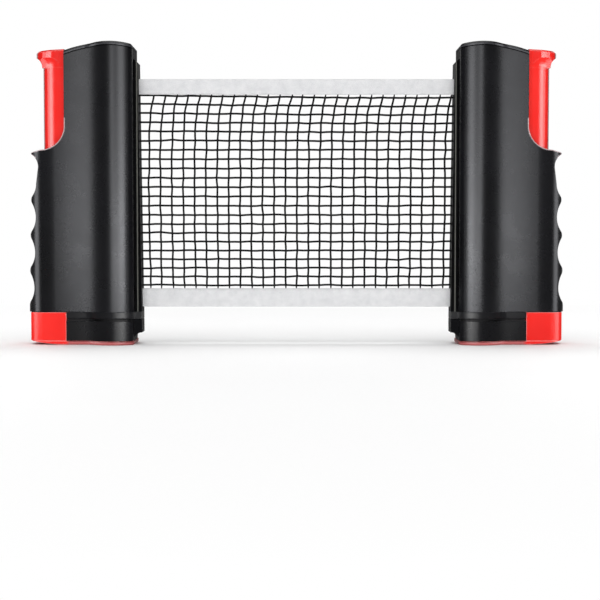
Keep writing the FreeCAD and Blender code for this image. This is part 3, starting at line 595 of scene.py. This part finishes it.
def tape_profile(box, fold_up):
    """Front edge, over the fold and down the back, as (y, z)."""
    half = 0.5 * (box[1].y - box[0].y) - 0.5 * CLOTH
    fold, edge = (box[1].z, box[0].z) if fold_up else (box[0].z, box[1].z)
    way = -1 if fold_up else 1
    centre = fold + way * (half + 0.5 * CLOTH)
    sides = [edge + (centre - edge) * i / FACE_STEPS for i in range(FACE_STEPS)]
    turns = [math.pi * i / FOLD_STEPS for i in range(FOLD_STEPS + 1)]
    bend = [(-half * math.cos(a), centre - way * half * math.sin(a)) for a in turns]
    return [(-half, z) for z in sides] + bend + [(half, z) for z in reversed(sides)]


def make_tape(name, box, fold_up):
    """Tape folded over the net's edge, its faces very slightly rippled."""
    profile = tape_profile(box, fold_up)
    height = box[1].z - box[0].z
    long_wave, short_wave = RIPPLE_WAVES

    def fill(bm):
        columns = []
        for i in range(TAPE_STATIONS + 1):
            x = -NET_END + 2 * NET_END * i / TAPE_STATIONS
            ripple = RIPPLE * (math.sin(x * long_wave) + 0.6 * math.sin(x * short_wave + 1.3))
            loop = []
            for y, z in profile:
                free = abs(z - (box[1].z if fold_up else box[0].z)) / height
                loop.append(bm.verts.new((x, y + ripple * free, z + 0.5 * ripple * free)))
            columns.append(loop)
        for a, b in zip(columns, columns[1:]):
            for k in range(len(profile) - 1):
                bm.faces.new((a[k], b[k], b[k + 1], a[k + 1]))

    tape = piece(name, fill, "white_tape")
    thick = tape.modifiers.new("cloth", "SOLIDIFY")
    thick.thickness = CLOTH
    thick.offset = 0
    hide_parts(name.replace("folded", "tape"))
    across(tape)


def make_roll(side, sign):
    """Net still on the reel, wound as a spiral."""
    low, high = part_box(side + "_wound_net")
    tube_low, tube_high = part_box(side + "_reel_tube")
    outer = 0.5 * (high.x - low.x) - ROLL_GAP
    inner = 0.5 * (tube_high.x - tube_low.x) + ROLL_GAP
    bands = [low.z, low.z + ROLL_LOW_TAPE, high.z - ROLL_TOP_TAPE, high.z]
    count = ROLL_TURNS * ROLL_STEPS

    def place(i, z):
        r = inner + (outer - inner) * i / count
        a = sign * 2 * math.pi * i / ROLL_STEPS
        return Vector((sign * REEL_X + r * math.cos(a), r * math.sin(a), z))

    def fill(bm):
        rings = [[bm.verts.new(place(i, z)) for z in bands] for i in range(count + 1)]
        for a, b in zip(rings, rings[1:]):
            for k in range(3):
                face = bm.faces.new((a[k], b[k], b[k + 1], a[k + 1]))
                face.material_index = 0 if k == 1 else 1

    roll = piece(side + "_net_roll", fill, "net_fabric")
    roll.data.materials.append(FINISH["white_tape"])
    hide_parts(side + "_wound_net")
    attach(roll, side + "_reel")


def make_coil(side):
    """Compression spring between the housing's ledge and the lever's head."""
    low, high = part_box(side + "_clamp_spring")
    centre = 0.5 * (low + high)
    radius = 0.5 * (high.x - low.x) - COIL_WIRE_R
    bottom, top = low.z + COIL_WIRE_R, high.z - COIL_WIRE_R

    def rise(share):
        """Closed turns at both ends, an even pitch between them."""
        ground = CLOSED_TURNS / COIL_TURNS
        share = min(max((share - ground) / (1 - 2 * ground), 0), 1)
        return bottom + (top - bottom) * share

    def fill(bm):
        points = []
        count = COIL_TURNS * COIL_STEPS
        for i in range(count + 1):
            a = 2 * math.pi * i / COIL_STEPS
            x, y = centre.x + radius * math.cos(a), centre.y + radius * math.sin(a)
            points.append(Vector((x, y, rise(i / count))))
        tube(bm, points, COIL_WIRE_R)

    coil = piece(side + "_coil", fill, "steel")
    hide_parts(side + "_clamp_spring")
    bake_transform(coil)


# Stage
def area_light(name, at, look, size, radiance, receivers, colour=(1, 1, 1)):
    """Softbox of an even radiance. It lights the group of pieces in receivers, or all when that is None."""
    data = bpy.data.lights.new(name, "AREA")
    data.shape = "RECTANGLE"
    data.size, data.size_y = size
    data.energy = radiance * math.pi * size[0] * size[1]
    lamp = bpy.data.objects.new(name, data)
    lamp.location = at
    lamp.rotation_euler = (Vector(look) - Vector(at)).to_track_quat("-Z", "Y").to_euler()
    bpy.context.scene.collection.objects.link(lamp)
    lamp.visible_camera = False
    data.color = colour
    if receivers is not None:
        lamp.light_linking.receiver_collection = receivers


def groups():
    """Pieces by their light: each post's housing, jaws and red lever, both trims, the net, the floor."""
    kinds = [side + kind for side in SIDES for kind in ("_dark", "_low", "_red")]
    made = {name: bpy.data.collections.new(name) for name in kinds + ["trim", "cloth", "floor_only"]}
    for obj in bpy.context.scene.objects:
        if obj.type != "MESH":
            continue
        side = obj.name.split("_")[0]
        if obj.name == "floor":
            made["floor_only"].objects.link(obj)
        elif "press_lever" in obj.name:
            made[side + "_red"].objects.link(obj)
        elif "slot_trim" in obj.name:
            made["trim"].objects.link(obj)
        elif side == "net":
            made["cloth"].objects.link(obj)
        elif "jaw" in obj.name or "pad" in obj.name:
            made[side + "_low"].objects.link(obj)
        else:
            made[side + "_dark"].objects.link(obj)
    return made


def make_lights():
    """Boxes that the grips and drums mirror, brighter low down; broad light on red and cloth."""
    lit = groups()
    middle = Vector((0, 0, 0.1))

    def front_box(name, side, width, height, radiance, receivers):
        """Faces the set from the front; width is for the left post and is mirrored for the right one."""
        (x0, x1), (z0, z1) = width, height
        x = 0.5 * (x0 + x1) * -SIDES[side]
        z = 0.5 * (z0 + z1)
        colour = COOL if receivers is lit[side + "_dark"] else (1, 1, 1)
        at = (x, -LAMP_DISTANCE, z)
        area_light(side + name, at, (x, 0, z), (x1 - x0, z1 - z0), radiance, receivers, colour)

    for side, sign in SIDES.items():
        dark, low, red = (lit[side + kind] for kind in ("_dark", "_low", "_red"))
        front_box("_grip_low", side, GRIP_BOX, LOW_BOX, 8.5, dark)
        front_box("_grip_high", side, GRIP_BOX, HIGH_BOX, 3.1, dark)
        front_box("_middle_low", side, MIDDLE_BOX, LOW_BOX, 14.0, dark)
        front_box("_middle_high", side, MIDDLE_BOX, HIGH_BOX, 1.2, dark)
        front_box("_drum_low", side, DRUM_BOX, LOW_BOX, 22.0, dark)
        front_box("_drum_high", side, DRUM_BOX, HIGH_BOX, 4.0, dark)
        area_light(side + "_side", (sign * 1.0, -0.1, 0.12), (0, -0.1, 0.12), (0.5, 0.5), 3.0, dark, COOL)
        area_light(side + "_back", (sign * 0.65, 1.0, 0.3), middle, (0.6, 0.6), 1.3, None)
        front_box("_jaw_middle", side, MIDDLE_BOX, LOW_BOX, 10.0, low)
        front_box("_jaw_inner", side, DRUM_BOX, (0.0, 0.42), 12.5, low)
        front_box("_red_far", side, (-1.4, -0.55), HIGH_BOX, 8.6, red)
        front_box("_red_low", side, (-0.12, 0.65), LOW_BOX, 20.0, red)
        front_box("_red_top", side, (-0.6, 0.6), (0.42, 1.3), 1.6, red)
        area_light(side + "_red_side", (sign * 1.0, -0.32, 0.16), (0, -0.32, 0.16), (0.6, 0.5), 3.5, red)
    area_light("cloth_front", (0, -1.0, 0.5), middle, (1.8, 1.0), 1.7, lit["cloth"])
    area_light("floor_top", (0, -0.3, 1.4), middle, (2.0, 1.6), 2.2, lit["floor_only"])
    area_light("top_box", (0, 0.2, 1.1), middle, (1.0, 0.6), 1.4, None)
    area_light("trim_box", (0, -0.9, 0.9), middle, (1.0, 0.3), 0.8, lit["trim"])


def make_world():
    """White to the camera, and straight behind the object also in reflections; a dim room otherwise."""
    world = bpy.data.worlds.new("studio")
    bpy.context.scene.world = world
    world.use_nodes = True
    tree = world.node_tree
    tree.nodes.clear()

    def node(kind, **settings):
        made = tree.nodes.new("ShaderNode" + kind)
        for key, value in settings.items():
            setattr(made, key, value)
        return made

    def join(a, b, operation):
        made = node("Math", operation=operation, use_clamp=True)
        tree.links.new(a, made.inputs[0])
        tree.links.new(b, made.inputs[1])
        return made.outputs[0]

    path = node("LightPath").outputs
    direction = node("TexCoord").outputs["Generated"]
    parts = node("SeparateXYZ")
    tree.links.new(direction, parts.inputs[0])
    behind = node("MapRange")
    behind.inputs["From Min"].default_value = BEHIND[0]
    behind.inputs["From Max"].default_value = BEHIND[1]
    tree.links.new(parts.outputs[1], behind.inputs["Value"])
    mirrored = join(path["Is Glossy Ray"], behind.outputs[0], "MULTIPLY")
    seen = join(join(path["Is Camera Ray"], path["Is Transmission Ray"], "ADD"), mirrored, "ADD")
    level = node("MapRange")
    level.inputs["To Min"].default_value = ROOM_LEVEL
    level.inputs["To Max"].default_value = 1.0
    tree.links.new(seen, level.inputs["Value"])
    back = node("Background")
    back.inputs["Color"].default_value = (1, 1, 1, 1)
    tree.links.new(level.outputs[0], back.inputs["Strength"])
    tree.links.new(back.outputs[0], node("OutputWorld").inputs["Surface"])


def make_floor():
    """Pale floor that keeps the shadow near the object and turns to plain white away from it."""
    mesh = bpy.data.meshes.new("floor")
    bm = bmesh.new()
    bmesh.ops.create_grid(bm, x_segments=1, y_segments=1, size=FLOOR_HALF)
    bm.to_mesh(mesh)
    bm.free()
    floor = bpy.data.objects.new("floor", mesh)
    bpy.context.scene.collection.objects.link(floor)
    floor.visible_glossy = False
    s = Shader("floor_paper")
    fibres = s.noise(500, 4)
    paper = s.set(Base_Color=s.mix(fibres, srgb("F2F2F2"), srgb("F8F8F8")), Roughness=0.7,
                  Normal=s.bump(fibres, 0.00003, 0.4))
    away = s.node("VectorMath", {0: s.place, 1: (0.0, 0.0, 0.0)}, operation="DISTANCE").outputs["Value"]
    far = s.span(away, *FLOOR_FADE)
    camera = s.node("LightPath").outputs["Is Camera Ray"]
    plain = s.node("Emission", {"Color": (1, 1, 1, 1), "Strength": 1.0})
    share = s.math("MULTIPLY", far, camera)
    blend = s.node("MixShader", {0: share, 1: s.surface.outputs[0], 2: plain.outputs[0]})
    s.tree.links.new(blend.outputs[0], s.tree.nodes["Material Output"].inputs["Surface"])
    mesh.materials.append(paper)


def make_camera():
    """The photograph's view."""
    data = bpy.data.cameras.new("photograph")
    data.sensor_width = 36
    data.lens = 36 * VIEW_DISTANCE / VIEW_WIDTH
    camera = bpy.data.objects.new("photograph", data)
    camera.location = VIEW_AT + Vector((0, -VIEW_DISTANCE, VIEW_HEIGHT))
    camera.rotation_euler = (VIEW_AT - camera.location).to_track_quat("-Z", "Y").to_euler()
    bpy.context.scene.collection.objects.link(camera)
    bpy.context.scene.camera = camera


repaint_frame()
make_net()
make_tape("net_top_folded", TOP_TAPE, True)
make_tape("net_bottom_folded", BOTTOM_TAPE, False)
for side, sign in SIDES.items():
    make_roll(side, sign)
    make_coil(side)
make_floor()
make_lights()
make_world()
make_camera()
bpy.context.scene.view_settings.view_transform = "Standard"
